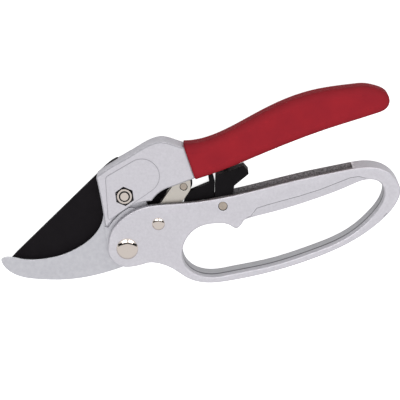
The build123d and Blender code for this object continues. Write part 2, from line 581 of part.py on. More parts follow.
with BuildPart() as pivot_nut:
    with BuildSketch(plan(NUT_FLOOR)):
        RegularPolygon(NUT_FLATS / 2, 6, major_radius=False, rotation=NUT_TURN)
    extrude(amount=NUT_HEX_HEIGHT)
    bar(PIVOT, NUT_COLLAR_RADIUS, NUT_SHOULDER, NUT_TOP)
    bar(PIVOT, BOLT_RADIUS, NUT_FLOOR, NUT_TOP, Mode.SUBTRACT)
    bar(PIVOT, INSERT_RADIUS, NUT_SHOULDER, NUT_TOP, Mode.SUBTRACT)

with BuildPart() as nut_insert:
    bar(PIVOT, INSERT_RADIUS, NUT_SHOULDER, NUT_TOP)
    bar(PIVOT, BOLT_RADIUS, NUT_SHOULDER, NUT_TOP, Mode.SUBTRACT)

with BuildPart() as blade_screw:
    bar(SCREW, SCREW_RADIUS, BLADE_BACK, BLADE_BACK + SCREW_LENGTH)
    taper(SCREW, SCREW_HEAD_RADIUS, SCREW_RADIUS, BLADE_BACK)
    with BuildSketch(plan(BLADE_BACK)):
        with Locations(SCREW):
            RegularPolygon(SCREW_KEY / 2, 6, major_radius=False)
    extrude(amount=SCREW_KEY_DEPTH, mode=Mode.SUBTRACT)

# Link: a bent sheet with two cheeks and a web along its left edge
LINK_ANGLE = degrees(atan2(NOTCH_Y - FOOT[1], NOTCH_X - FOOT[0]))


def along_link(level):
    """The horizontal plane with its origin at the link's foot and X along the link."""
    return Plane(origin=(PIVOT_X + FOOT[0], PIVOT_Y + FOOT[1], level),
                 x_dir=(cos(radians(LINK_ANGLE)), sin(radians(LINK_ANGLE)), 0), z_dir=(0, 0, 1))


with BuildPart() as ratchet_link:
    with BuildSketch(plan(LINK_BACK)):
        with Locations(FOOT):
            Circle(FOOT_RADIUS)
        for corner, radius in LINK_CORNERS:
            with Locations(shifted(NOTCH, corner)):
                Circle(radius)
        make_hull()
    extrude(amount=LINK_FRONT - LINK_BACK)
    with BuildSketch(along_link(LINK_BACK + LINK_SHEET)):
        Rectangle(FAR, FAR)
        with Locations((WEB_START, FOOT_RADIUS - LINK_SHEET)):
            Rectangle(WEB_END - WEB_START, FAR, align=(Align.MIN, Align.MIN), mode=Mode.SUBTRACT)
    extrude(amount=LINK_FRONT - LINK_BACK - 2 * LINK_SHEET, mode=Mode.SUBTRACT)
    bar(FOOT, FOOT_RIVET_RADIUS + FIT, LINK_BACK, LINK_FRONT, Mode.SUBTRACT)
    bar(NOTCH, NOTCH_PIN_RADIUS, LINK_BACK, LINK_FRONT, Mode.SUBTRACT)

with BuildPart() as ratchet_pin:
    bar(NOTCH, NOTCH_PIN_RADIUS, LINK_BACK, LINK_FRONT - PIN_RECESS)
    chamfer(ratchet_pin.edges().group_by(Axis.Z)[-1], PIN_BEVEL)
    bar(NOTCH, NOTCH_TAIL_RADIUS, BLADE_BACK + SLOT_FLOOR + LINK_GAP, LINK_BACK)

with BuildPart() as link_spacer:
    bar(FOOT, FOOT_RIVET_RADIUS + FIT + SPACER_WALL, LINK_BACK + LINK_SHEET, LINK_FRONT - LINK_SHEET)
    bar(FOOT, FOOT_RIVET_RADIUS + FIT, LINK_BACK + LINK_SHEET, LINK_FRONT - LINK_SHEET, Mode.SUBTRACT)

# Coiled spring of the link: one leg lies along the handle's channel, the other along the link
COIL_RADIUS = FOOT_RIVET_RADIUS + FIT + SPACER_WALL + COIL_PLAY + WIRE / 2
COIL_TURN = 360 * COIL_TURNS + 180 - LINK_ANGLE + LEG_ANGLE
COIL_ROOM = LINK_FRONT - LINK_BACK - 2 * (LINK_SHEET + COIL_END_GAP) - WIRE
COIL_SLOPE = COIL_ROOM / (radians(COIL_TURN) * COIL_RADIUS + LEG_UP + LEG_ALONG)
COIL_HEIGHT = COIL_SLOPE * radians(COIL_TURN) * COIL_RADIUS
COIL_LOW = LINK_BACK + LINK_SHEET + COIL_END_GAP + WIRE / 2 + COIL_SLOPE * LEG_ALONG


def coil_point(share):
    """Place on the coil's centre line, from its start to its end."""
    angle = LEG_ANGLE - 90 - share * COIL_TURN
    spot = polar(FOOT, COIL_RADIUS, angle)
    return Vector(PIVOT_X + spot[0], PIVOT_Y + spot[1], COIL_LOW + share * COIL_HEIGHT)


def coil_heading(share):
    """Direction of the coil's centre line."""
    angle = radians(LEG_ANGLE - 90 - share * COIL_TURN)
    return Vector(sin(angle), -cos(angle), COIL_SLOPE).normalized()


def arc_joint(share, next_share):
    """The point where two equal arcs meet that join two places on the coil."""
    first, last = coil_point(share), coil_point(next_share)
    leave, arrive = coil_heading(share), coil_heading(next_share)
    span, both = last - first, leave + arrive
    square = both.dot(both) - 4
    reach = (span.dot(both) - sqrt(span.dot(both)**2 - square * span.dot(span))) / square
    return (first + leave * reach + last - arrive * reach) * 0.5, (last - arrive * reach) - (first + leave * reach)


with BuildPart() as link_spring:
    leg_end = coil_point(0) - coil_heading(0) * LEG_ALONG
    with BuildLine(Plane.XY) as wire_path:
        Line(leg_end, coil_point(0))
        for step in range(COIL_STEPS):
            joint, heading = arc_joint(step / COIL_STEPS, (step + 1) / COIL_STEPS)
            TangentArc(coil_point(step / COIL_STEPS), joint, tangent=coil_heading(step / COIL_STEPS))
            TangentArc(joint, coil_point((step + 1) / COIL_STEPS), tangent=heading)
        Line(coil_point(1), coil_point(1) + coil_heading(1) * LEG_UP)
    with BuildSketch(Plane(origin=leg_end, z_dir=coil_heading(0))):
        Circle(WIRE / 2)
    sweep(path=wire_path.line)

spring_line = wire_path.wire()
spots = [tuple(spring_line.position_at(step / SPRING_SPOTS)) for step in range(SPRING_SPOTS + 1)]
apart = round(2 * COIL_RADIUS * SPRING_SPOTS / spring_line.length)
least = min(dist(spot, other) for index, spot in enumerate(spots) for other in spots[index + apart:]) - WIRE
print(f"link_spring: least gap to itself {least:.2f} mm")

with BuildPart() as lock_lever:
    with BuildSketch(plan(LINK_BACK)):
        with Locations(LOCK):
            Circle(LOCK_HUB)
        with BuildLine():
            left_foot = polar(LOCK, LOCK_HUB, 176)
            right_foot = polar(LOCK, LOCK_HUB, 10)
            pad = [LOCK_LEFT, LOCK_TOP_LEFT, LOCK_TOP_RIGHT, LOCK_CUT, LOCK_TIP, LOCK_WAIST]
            Polyline(right_foot, left_foot, *[shifted(LOCK, point) for point in pad], close=True)
        make_face()
    extrude(amount=LINK_FRONT - LINK_BACK)
    with BuildSketch(plan(LINK_BACK)):
        with BuildLine():
            Polyline(*[shifted(LOCK, point) for point in [
                (HOOK_LEFT, LOCK_LEFT[1]), (HOOK_RIGHT, LOCK_LEFT[1]), (HOOK_RIGHT, HOOK_TOP), (HOOK_NOSE, HOOK_TOP),
                (HOOK_NOSE, HOOK_UNDER), (HOOK_LEFT, HOOK_UNDER)]], close=True)
        make_face()
    extrude(amount=HOOK_DEPTH)
    bar(LOCK, LOCK_PIN_RADIUS + FIT, LINK_BACK, LINK_FRONT, Mode.SUBTRACT)

with BuildPart() as lock_pin:
    bar(LOCK, LOCK_PIN_RADIUS, PIN_RECESS, HANDLE_DEPTH - PIN_RECESS)
    chamfer(lock_pin.edges().group_by(Axis.Z)[-1] + lock_pin.edges().group_by(Axis.Z)[0], PIN_BEVEL)

with BuildPart() as keeper_pin:
    bar(KEEPER, KEEPER_RADIUS, GRIP_WALL, GRIP_DEPTH - GRIP_WALL)

with BuildPart() as return_spring:
    with BuildSketch(plan(LINK_BACK + LINK_SHEET + ARM_PLAY)):
        with BuildLine():
            floor_start, floor_stop = shifted(HUB, CHANNEL_FLOOR[3]), shifted(HUB, CHANNEL_FLOOR[4])
            slope = (floor_stop[1] - floor_start[1]) / (floor_stop[0] - floor_start[0])
            foot_left = (LOCK[0] + ARM_LEFT, floor_start[1] + slope * (LOCK[0] + ARM_LEFT - floor_start[0]))
            foot_right = (LOCK[0] + ARM_RIGHT, floor_start[1] + slope * (LOCK[0] + ARM_RIGHT - floor_start[0]))
            finger = [FINGER_SIDE, FINGER_TOP_RIGHT, FINGER_TOP_LEFT, ARM_TOP_RIGHT, ARM_TOP_LEFT]
            Polyline(foot_left, foot_right, *[shifted(LOCK, point) for point in finger], close=True)
        make_face()
    extrude(amount=LINK_FRONT - LINK_BACK - 2 * (LINK_SHEET + ARM_PLAY))

for built, label in [
    (upper_handle, "upper_handle"), (grip_sleeve, "grip_sleeve"), (blade, "blade"), (hook_jaw, "hook_jaw"),
    (pivot_nut, "pivot_nut"), (nut_insert, "nut_insert"), (pivot_bolt, "pivot_bolt"), (pivot_bush, "pivot_bush"),
    (blade_screw, "blade_screw"), (lower_handle, "lower_handle"), (handle_rivet, "handle_rivet"),
    (link_rivet, "link_rivet"), (hub_washers, "hub_washers"), (ratchet_link, "ratchet_link"),
    (ratchet_pin, "ratchet_pin"), (link_spacer, "link_spacer"), (link_spring, "link_spring"),
    (return_spring, "return_spring"), (lock_lever, "lock_lever"), (lock_pin, "lock_pin"), (keeper_pin, "keeper_pin"),
]:
    save(built, label)
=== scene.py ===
"""Ratchet pruning shears on a pale floor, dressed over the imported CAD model."""

import logging
import math
from dataclasses import dataclass, field, replace
from enum import Enum
from typing import Any, Callable, Sequence

import bmesh
import bpy
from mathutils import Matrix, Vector

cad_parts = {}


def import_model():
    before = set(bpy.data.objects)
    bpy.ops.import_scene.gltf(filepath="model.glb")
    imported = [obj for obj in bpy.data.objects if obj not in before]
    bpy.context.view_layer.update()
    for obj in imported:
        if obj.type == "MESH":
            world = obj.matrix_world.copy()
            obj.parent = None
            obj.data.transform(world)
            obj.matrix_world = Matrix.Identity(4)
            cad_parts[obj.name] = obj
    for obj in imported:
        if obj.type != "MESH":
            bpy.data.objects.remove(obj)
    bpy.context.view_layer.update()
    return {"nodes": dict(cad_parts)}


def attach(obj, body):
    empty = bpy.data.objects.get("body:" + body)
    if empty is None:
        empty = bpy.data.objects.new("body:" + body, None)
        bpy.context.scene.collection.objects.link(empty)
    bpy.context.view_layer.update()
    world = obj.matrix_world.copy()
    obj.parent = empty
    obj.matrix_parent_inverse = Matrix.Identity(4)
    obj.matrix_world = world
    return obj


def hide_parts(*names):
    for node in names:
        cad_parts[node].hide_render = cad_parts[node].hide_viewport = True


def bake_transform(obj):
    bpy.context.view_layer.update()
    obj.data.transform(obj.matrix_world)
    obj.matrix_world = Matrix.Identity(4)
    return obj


LOG = logging.getLogger("shears")
MM = 0.001


class Coat(Enum):
    """How a finish breaks the light up at close range."""

    SMOOTH = "smooth"
    ORANGE_PEEL = "orange peel"
    SAND_CAST = "sand cast"
    DRAWN = "drawn"


def linear(hex_colour: str) -> tuple[float, float, float, float]:
    """Turn an sRGB hex value into a linear colour.

    Args:
        hex_colour: Six hexadecimal digits after a hash.

    Returns:
        Linear red, green and blue, with full alpha.
    """
    parts = [int(hex_colour[place:place + 2], 16) / 255 for place in (1, 3, 5)]
    flat = [part / 12.92 if part <= 0.04045 else ((part + 0.055) / 1.055) ** 2.4 for part in parts]
    return (flat[0], flat[1], flat[2], 1.0)


def add_node(tree: bpy.types.NodeTree, kind: str, inputs: dict[Any, Any] | None = None,
             **settings: Any) -> bpy.types.Node:
    """Add one node with its settings, plain values and links.

    Args:
        tree: The node tree that takes the node.
        kind: Blender's name for the node type.
        inputs: Socket name or number to a plain value, or to a socket that is linked to it.
        settings: Properties of the node itself.

    Returns:
        The new node.
    """
    node = tree.nodes.new(kind)
    for name, value in settings.items():
        setattr(node, name, value)
    for name, value in (inputs or {}).items():
        if isinstance(value, bpy.types.NodeSocket):
            tree.links.new(value, node.inputs[name])
        else:
            node.inputs[name].default_value = value
    return node


@dataclass(frozen=True)
class Finish:
    """One real material and how its surface was made."""

    name: str
    colour: str
    metallic: float
    roughness: float
    ior: float = 1.5
    coat: Coat = Coat.SMOOTH
    pattern_mm: float = 0.6
    relief_mm: float = 0.0
    mottle: str = ""
    mottle_mm: float = 12.0
    edge_mm: float = 0.25
    # Colour of a painted highlight along the edges; empty for none.
    edge_highlight_colour: str = ""
    rough_swing: float = 0.0

    def grain(self, tree: bpy.types.NodeTree, place: bpy.types.NodeSocket) -> bpy.types.NodeSocket:
        """Draw the surface's close-range pattern.

        Args:
            tree: The material's tree.
            place: Where the pattern is looked up.

        Returns:
            A socket from 0 to 1.
        """
        scale = 1 / (self.pattern_mm * MM)
        if self.coat is Coat.ORANGE_PEEL:
            return add_node(tree, "ShaderNodeTexVoronoi", {"Vector": place, "Scale": scale, "Smoothness": 0.8},
                            feature="SMOOTH_F1").outputs["Distance"]
        detail = 6.0 if self.coat is Coat.SAND_CAST else 2.0
        return add_node(tree, "ShaderNodeTexNoise", {"Vector": place, "Scale": scale, "Detail": detail}).outputs[0]

    def tinted(self, tree: bpy.types.NodeTree, place: bpy.types.NodeSocket,
               rounded: bpy.types.NodeSocket) -> bpy.types.NodeSocket | None:
        """Vary the colour by patches, and paint a highlight along the edges.

        Args:
            tree: The material's tree.
            place: Where the patches are looked up.
            rounded: The normal with softened edges.

        Returns:
            The colour, or nothing where it is even.
        """
        tint = None
        if self.mottle:
            cloud = add_node(tree, "ShaderNodeTexNoise", {
                "Vector": place, "Scale": 1 / (self.mottle_mm * MM), "Detail": 4.0, "Roughness": 0.6})
            spread = add_node(tree, "ShaderNodeMapRange", {0: cloud.outputs[0], 1: 0.32, 2: 0.68})
            tint = add_node(tree, "ShaderNodeMix", {
                0: spread.outputs[0], 6: linear(self.colour), 7: linear(self.mottle)}, data_type="RGBA").outputs[2]
        if self.edge_highlight_colour:
            # Where the softened normal bends away from the true one, the colour turns towards a painted edge highlight.
            flat = add_node(tree, "ShaderNodeNewGeometry").outputs["True Normal"]
            same = add_node(tree, "ShaderNodeVectorMath", {0: rounded, 1: flat}, operation="DOT_PRODUCT")
            painted_highlight_mask = add_node(tree, "ShaderNodeMapRange", {0: same.outputs["Value"], 1: 0.99, 2: 0.9})
            tint = add_node(tree, "ShaderNodeMix", {
                0: painted_highlight_mask.outputs[0], 6: tint or linear(self.colour), 7: linear(self.edge_highlight_colour)},
                data_type="RGBA").outputs[2]
        return tint

    def material(self) -> bpy.types.Material:
        """Build the finish as a node material.

        Returns:
            The new material, named after the finish.
        """
        made = bpy.data.materials.new(self.name)
        made.use_nodes = True
        tree = made.node_tree
        tree.nodes.clear()
        shader = add_node(tree, "ShaderNodeBsdfPrincipled", {
            "Base Color": linear(self.colour), "Metallic": self.metallic, "Roughness": self.roughness})
        if self.metallic < 0.9:
            shader.inputs["IOR"].default_value = self.ior
        add_node(tree, "ShaderNodeOutputMaterial", {"Surface": shader.outputs[0]})
        place = add_node(tree, "ShaderNodeTexCoord").outputs["Object"]
        if self.coat is Coat.DRAWN:
            place = add_node(tree, "ShaderNodeMapping", {"Vector": place, "Scale": (0.12, 1.0, 1.0)}).outputs[0]
        normal = add_node(tree, "ShaderNodeBevel", {"Radius": self.edge_mm * MM}, samples=6).outputs[0]
        tint = self.tinted(tree, place, normal)
        if tint:
            tree.links.new(tint, shader.inputs["Base Color"])
        grain = self.grain(tree, place)
        if self.rough_swing:
            sheen = add_node(tree, "ShaderNodeMapRange", {
                0: grain, 1: 0.2, 2: 0.7, 3: self.roughness - self.rough_swing, 4: self.roughness + self.rough_swing})
            tree.links.new(sheen.outputs[0], shader.inputs["Roughness"])
        if self.relief_mm:
            normal = add_node(tree, "ShaderNodeBump", {
                "Strength": 1.0, "Distance": self.relief_mm * MM, "Height": grain, "Normal": normal}).outputs[0]
        tree.links.new(normal, shader.inputs["Normal"])
        return made


# Die-cast aluminium under silver lacquer: a pale satin face with a fine pebbled skin; its edges carry a painted
# highlight
LACQUERED_CASTING = Finish("silver lacquer on die-cast aluminium", "#D1CED4", 0.35, 0.42, coat=Coat.ORANGE_PEEL,
                           pattern_mm=1.1, relief_mm=0.03, mottle="#C8C5CB", mottle_mm=1.2, edge_mm=0.5,
                           edge_highlight_colour="#F6F5F8", rough_swing=0.06)
# The same lacquer on broad faces, without the painted edge highlight
FLAT_LACQUER = replace(LACQUERED_CASTING, name="silver lacquer on broad faces", edge_mm=0.05, edge_highlight_colour="")
# The low step round the pivot takes a darker, duller grey than the faces: painted shade along the step
STEP_SHADE_LACQUER = Finish("lacquer with painted shade in a step", "#B4B2B7", 0.0, 0.8, ior=1.2, pattern_mm=1.1, edge_mm=0.05)
# The guard's inside is brushed clean after casting and keeps little lacquer, so it is a duller grey
BRUSHED_INSIDE = Finish("brushed die-cast aluminium", "#D2D1D4", 0.3, 0.6, coat=Coat.DRAWN, pattern_mm=0.7,
                        relief_mm=0.01, mottle="#C4C3C6", mottle_mm=1.6, edge_mm=0.3)
# Painted shade: a narrow dark line above the bevel and a dark band high on the guard's inside wall
SHADOW_LINE = Finish("painted shade line on lacquer", "#77767A", 0.0, 0.7, ior=1.3, pattern_mm=0.6, relief_mm=0.005, edge_mm=0.1,
                     mottle="#88878B", mottle_mm=2.0)
# The channel is dark, rough and speckled; on the upper walls along the lips the same dark colour is painted shade
CHANNEL_GREY_AND_LIP_SHADE = Finish("dark speckled casting and painted lip shade", "#ACA8AA", 0.1, 0.8, ior=1.3, coat=Coat.SAND_CAST, pattern_mm=0.9,
                     relief_mm=0.05, mottle="#5C595B", mottle_mm=0.9, edge_mm=0.2)
# Soft vinyl dipped over the casting: a deep red with a broad satin light along its shoulder
DIPPED_VINYL = Finish("dipped red vinyl", "#A32831", 0.0, 0.6, ior=1.12, pattern_mm=2.4, relief_mm=0.03,
                      mottle="#992630", mottle_mm=12.0, edge_mm=3.0)
# Hardened steel under a baked non-stick coat: nearly black with a soft sheen, its edges painted a little lighter as a
# highlight
COATED_STEEL = Finish("black baked coat on steel", "#120F12", 0.0, 0.5, ior=1.18, pattern_mm=0.6, relief_mm=0.004,
                      mottle="#161316", mottle_mm=6.0, edge_mm=0.2, edge_highlight_colour="#262426")
# Ground after coating, so the cutting bevel is bare and bright with fine stone marks
GROUND_STEEL = Finish("ground tool steel", "#C9C8C6", 1.0, 0.3, coat=Coat.DRAWN, pattern_mm=0.4, relief_mm=0.003,
                      edge_mm=0.1, rough_swing=0.06)
# Satin chrome plate over forged steel, a little greyer than the lacquer, with a painted highlight along its edges
PLATED_JAW = Finish("satin chrome plate on forged steel", "#C9C8CD", 0.4, 0.4, coat=Coat.ORANGE_PEEL, pattern_mm=0.9,
                    relief_mm=0.012, mottle="#BEBDC3", mottle_mm=2.2, edge_mm=0.4, edge_highlight_colour="#E2E1E5",
                    rough_swing=0.05)
# Bright nickel on turned steel mirrors the studio, with a warm cast
NICKEL = Finish("bright nickel on turned steel", "#CDC3BC", 1.0, 0.1, pattern_mm=1.5, edge_mm=0.15, rough_swing=0.02)
# Black on the nut's flats and on slanted turned corners; round the pins' ends the black is painted shade
BLACK_FLATS_AND_RIM_SHADE = Finish("black flats and painted rim shade", "#141314", 0.0, 0.6, ior=1.2, pattern_mm=0.4, relief_mm=0.004, edge_mm=0.1,
                   mottle="#1B1A1B", mottle_mm=0.8)
# Cold-rolled strip, pressed to shape, with the mill's faint lines along it and a painted highlight along its edges
PRESSED_STRIP = Finish("pressed cold-rolled strip", "#C4BEB6", 0.7, 0.34, coat=Coat.DRAWN, pattern_mm=0.5,
                       relief_mm=0.004, edge_mm=0.25, edge_highlight_colour="#DDD9D4", rough_swing=0.06)
# Hard-drawn wire, darker than the strip, with the die's lines along it
DRAWN_WIRE = Finish("hard-drawn spring wire", "#8F8B88", 0.9, 0.3, pattern_mm=0.3, edge_mm=0.05, rough_swing=0.05)
# Glass-filled nylon from a spark-eroded mould, black with a fine matt skin
MOULDED_NYLON = Finish("black glass-filled nylon", "#0F0D0F", 0.0, 0.5, ior=1.17, coat=Coat.SAND_CAST, pattern_mm=0.6,
                       relief_mm=0.008, mottle="#141214", mottle_mm=3.0, edge_mm=0.3)
# The same nylon, grey on the slanted top as a painted reflection
NYLON_TOP_REFLECTION = Finish("glass-filled nylon with a painted top reflection", "#565A5A", 0.0, 0.5, ior=1.35, coat=Coat.SAND_CAST,
                      pattern_mm=0.6, relief_mm=0.008, mottle="#4C5050", mottle_mm=2.0, edge_mm=0.3)
# Dark nylon ring of the lock nut
NUT_NYLON = Finish("dark grey nylon", "#1F1E20", 0.0, 0.5, ior=1.3, pattern_mm=0.5, edge_mm=0.1, mottle="#262527",
                   mottle_mm=0.8)
# Bare turned pin ends with a warm, dull face
TURNED_PIN = Finish("bare turned steel", "#B4A89C", 0.8, 0.4, pattern_mm=0.4, relief_mm=0.002, edge_mm=0.1,
                    mottle="#A59A8E", mottle_mm=1.0)


class Wardrobe:
    """Hands out each finish's material, made once."""

    def __init__(self) -> None:
        """Start with no materials made."""
        self._made: dict[str, bpy.types.Material] = {}

    def of(self, finish: Finish) -> bpy.types.Material:
        """Give the material of a finish.

        Args:
            finish: The finish to look up or make.

        Returns:
            Its one material.
        """
        if finish.name not in self._made:
            self._made[finish.name] = finish.material()
        return self._made[finish.name]


def dress(piece: bpy.types.Object, materials: Sequence[bpy.types.Material],
          choose: Callable[[bpy.types.MeshPolygon, bpy.types.Mesh], int] | None = None, angle: float = 28.0) -> None:
    """Give a CAD node its materials and a smooth surface with crisp edges.

    Args:
        piece: The node to dress.
        materials: The materials in slot order.
        choose: Picks a slot for each face; all faces take the first without it.
        angle: Edges sharper than this many degrees stay crisp.
    """
    mesh = piece.data
    mesh.materials.clear()
    for made in materials:
        mesh.materials.append(made)
    for face in mesh.polygons:
        face.material_index = choose(face, mesh) if choose else 0
    mesh.polygons.foreach_set("use_smooth", [True] * len(mesh.polygons))
    mesh.set_sharp_from_angle(angle=math.radians(angle))
    even = piece.modifiers.new("even shading", "WEIGHTED_NORMAL")
    even.keep_sharp = True
    LOG.info("dressed %s", piece.name)


def rim_face(face: bpy.types.MeshPolygon, mesh: bpy.types.Mesh) -> int:
    """Pick slot 1 for the slanted corner of a turned end and slot 0 elsewhere."""
    # The slanted corner takes black as painted shade round the pin's end.
    return 1 if 0.2 < abs(face.normal.z) < 0.93 else 0


@dataclass
class UpperHandle:
    """Cast head with its blade, pivot fasteners and red sleeve."""

    collar_radius: float = 3.9 * MM
    collar_foot: float = 14.68 * MM
    bolt_corner: float = 15.5 * MM
    step_foot: float = 14.6 * MM
    pivot: tuple[float, float] = (-37.8 * MM, -5.2 * MM)

    def head_face(self, face: bpy.types.MeshPolygon, mesh: bpy.types.Mesh) -> int:
        """Tell the head's broad faces and the low step round its pivot from its rounded sides.

        Args:
            face: A face of the head.
            mesh: The head's mesh.

        Returns:
            1 for a broad face, 2 for the step and 0 elsewhere.
        """
        if abs(face.normal.z) > 0.995:
            return 1
        # The step takes the darker lacquer as painted shade.
        return 2 if min(mesh.vertices[index].co.z for index in face.vertices) > self.step_foot else 0

    def nut_face(self, face: bpy.types.MeshPolygon, mesh: bpy.types.Mesh) -> int:
        """Tell the nut's bright collar from its black flats.

        Args:
            face: A face of the nut.
            mesh: The nut's mesh.

        Returns:
            0 for the collar and 1 for the flats.
        """
        middle = face.center
        reach = math.hypot(middle.x - self.pivot[0], middle.y - self.pivot[1])
        return 0 if reach < self.collar_radius and middle.z > self.collar_foot else 1

    def bolt_face(self, face: bpy.types.MeshPolygon, mesh: bpy.types.Mesh) -> int:
        """Pick slot 1 for the bolt's thread and end corner and slot 0 for its flat end and head."""
        return 1 if face.center.z > self.bolt_corner and face.normal.z < 0.95 else 0

    def blade_face(self, face: bpy.types.MeshPolygon, mesh: bpy.types.Mesh) -> int:
        """Pick slot 1 for the ground bevel and slot 0 for the coated faces."""
        return 1 if 0.05 < abs(face.normal.z) < 0.999 else 0

    def build(self, nodes: dict[str, bpy.types.Object], wardrobe: Wardrobe) -> None:
        """Dress the upper handle's nodes.

        Args:
            nodes: The CAD nodes by name.
            wardrobe: Where the materials come from.
        """
        silver = [wardrobe.of(finish) for finish in (LACQUERED_CASTING, FLAT_LACQUER, STEP_SHADE_LACQUER)]
        dress(nodes["upper_handle"], silver, self.head_face)
        dress(nodes["grip_sleeve"], [wardrobe.of(DIPPED_VINYL)], angle=50.0)
        dress(nodes["blade"], [wardrobe.of(COATED_STEEL), wardrobe.of(GROUND_STEEL)], self.blade_face)
        dress(nodes["pivot_nut"], [wardrobe.of(NICKEL), wardrobe.of(BLACK_FLATS_AND_RIM_SHADE)], self.nut_face)
        dress(nodes["nut_insert"], [wardrobe.of(NUT_NYLON)])
        dress(nodes["pivot_bolt"], [wardrobe.of(NICKEL), wardrobe.of(BLACK_FLATS_AND_RIM_SHADE)], self.bolt_face)
        dress(nodes["blade_screw"], [wardrobe.of(NICKEL)])
        for name in ("pivot_bush", "keeper_pin"):
            dress(nodes[name], [wardrobe.of(TURNED_PIN)])


@dataclass
class HookJaw:
    """The plated counter-blade."""

    def build(self, nodes: dict[str, bpy.types.Object], wardrobe: Wardrobe) -> None:
        """Dress the jaw.

        Args:
            nodes: The CAD nodes by name.
            wardrobe: Where the materials come from.
        """
        dress(nodes["hook_jaw"], [wardrobe.of(PLATED_JAW)])


@dataclass
class LowerHandle:
    """Cast handle with the finger guard, its rivets and the return spring arm."""

    hub: tuple[float, float] = (-36.6 * MM, -32.6 * MM)
    channel_low: float = 3.7 * MM
    channel_high: float = 12.3 * MM
    shade_strip_start: float = 12.7 * MM
    shade_strip_end: float = 114.0 * MM
    weld: float = 1e-6
    cut_slack: float = 1e-7
    floor_slack: float = 0.3 * MM
    spray_reach: float = 11.0 * MM
    shade_band_foot: float = 9.2 * MM
    line_half: float = 0.16 * MM
    bevel_start: tuple[float, float] = (59.0 * MM, 13.0 * MM)
    loop_middle: tuple[float, float] = (80.0 * MM, 12.0 * MM)
    loop_half: tuple[float, float] = (58.0 * MM, 34.0 * MM)
    floor_mm: tuple[tuple[float, float], ...] = (
        (-20.0, 7.4), (18.4, 7.4), (21.8, 12.0), (29.8, 15.9), (42.8, 17.0), (54.2, 17.2), (59.0, 21.6), (88.4, 29.4),
        (114.0, 36.6), (150.0, 46.0))

    def floor_at(self, across: float) -> float:
        """Give the channel floor's height over the hub, in metres, at a distance along the handle."""
        for (left, low), (right, high) in zip(self.floor_mm, self.floor_mm[1:]):
            if across <= right * MM:
                return (low + (high - low) * (across / MM - left) / (right - left)) * MM
        return self.floor_mm[-1][1] * MM

    def casting_face(self, face: bpy.types.MeshPolygon, mesh: bpy.types.Mesh) -> int:
        """Tell the lacquered outside from the dark channel, the painted shade strip along its lips and the guard's
        inside.

        Args:
            face: A face of the casting.
            mesh: The casting's mesh.

        Returns:
            0 for the outside, 1 for the channel and the painted shade strip, 2 for the guard's inside and 3 for the
            painted shade band high on it.
        """
        across, up = face.center.x - self.hub[0], face.center.y - self.hub[1]
        if across > self.shade_strip_end or up < self.floor_at(across) - self.floor_slack:
            if not self.faces_loop(face, across, up):
                return 0
            # The top band of the guard's inside wall takes the dark colour as painted shade.
            return 3 if face.center.z > self.shade_band_foot else 2
        levels = [mesh.vertices[index].co.z for index in face.vertices]
        if min(levels) > self.channel_low and max(levels) < self.channel_high:
            return 1
        # Upward walls along the lips take the dark channel colour as painted shade.
        return 1 if across > self.shade_strip_start and face.normal.y > 0.5 and abs(face.normal.z) < 0.3 else 0

    def faces_loop(self, face: bpy.types.MeshPolygon, across: float, up: float) -> bool:
        """Tell whether a face looks into the guard's opening.

        Args:
            face: A face of the casting.
            across: Its distance along the handle from the hub, in metres.
            up: Its height over the hub, in metres.

        Returns:
            True for the upright wall round the opening, as far as the lacquer doesn't reach in.
        """
        away = (self.loop_middle[0] - across, self.loop_middle[1] - up)
        if abs(away[0]) > self.loop_half[0] or abs(away[1]) > self.loop_half[1]:
            return False
        if face.center.z > self.spray_reach or abs(face.normal.z) > 0.75:
            return False
        return away[0] * face.normal.x + away[1] * face.normal.y > 0

    def casting(self, node: bpy.types.Object, wardrobe: Wardrobe) -> None:
        """Copy the casting with clean ends to its painted shade strip and to the bands inside the guard.

        Args:
            node: The CAD node.
            wardrobe: Where the materials come from.
        """
        shape = bmesh.new()
        shape.from_mesh(node.data)
        bmesh.ops.remove_doubles(shape, verts=shape.verts, dist=self.weld)
        cuts = [((self.hub[0] + along, 0.0, 0.0), (1.0, 0.0, 0.0)) for along in (self.shade_strip_start, self.shade_strip_end)]
        cuts += [((0.0, 0.0, level), (0.0, 0.0, 1.0)) for level in (self.shade_band_foot, self.spray_reach)]
        for spot, facing in cuts:
            bmesh.ops.bisect_plane(shape, geom=[*shape.verts, *shape.edges, *shape.faces], dist=self.cut_slack,
                                   plane_co=spot, plane_no=facing)
        mesh = bpy.data.meshes.new("guard_handle")
        shape.to_mesh(mesh)
        shape.free()
        piece = bpy.data.objects.new("guard_handle", mesh)
        bpy.context.scene.collection.objects.link(piece)
        dress(piece, [wardrobe.of(finish) for finish in (LACQUERED_CASTING, CHANNEL_GREY_AND_LIP_SHADE, BRUSHED_INSIDE,
                                                     SHADOW_LINE)], self.casting_face)
        self.crease(mesh)
        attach(piece, "lower")
        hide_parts("lower_handle")

    def crease(self, mesh: bpy.types.Mesh) -> None:
        """Cut a narrow line where the flat side turns into the bevel over the fingers.

        Args:
            mesh: The casting's mesh.
        """
        shape = bmesh.new()
        shape.from_mesh(mesh)
        line = []
        for edge in shape.edges:
            if len(edge.link_faces) == 2:
                flat, slant = sorted(edge.link_faces, key=lambda face: -abs(face.normal.z))
                across = min(vertex.co.x for vertex in edge.verts) - self.hub[0]
                up = min(vertex.co.y for vertex in edge.verts) - self.hub[1]
                if across > self.bevel_start[0] and up > self.bevel_start[1] and slant.normal.y < -0.15:
                    if abs(flat.normal.z) > 0.999 and 0.8 < abs(slant.normal.z) < 0.99:
                        line.append(edge)
        # The narrow cut takes slot 3, the dark colour, as painted shade along the crease.
        bmesh.ops.bevel(shape, geom=line, offset=self.line_half, offset_type="OFFSET", segments=1, profile=0.5,
                        affect="EDGES", clamp_overlap=False, material=3)
        shape.to_mesh(mesh)
        shape.free()
        LOG.info("cut the bevel's line along %d edges", len(line))

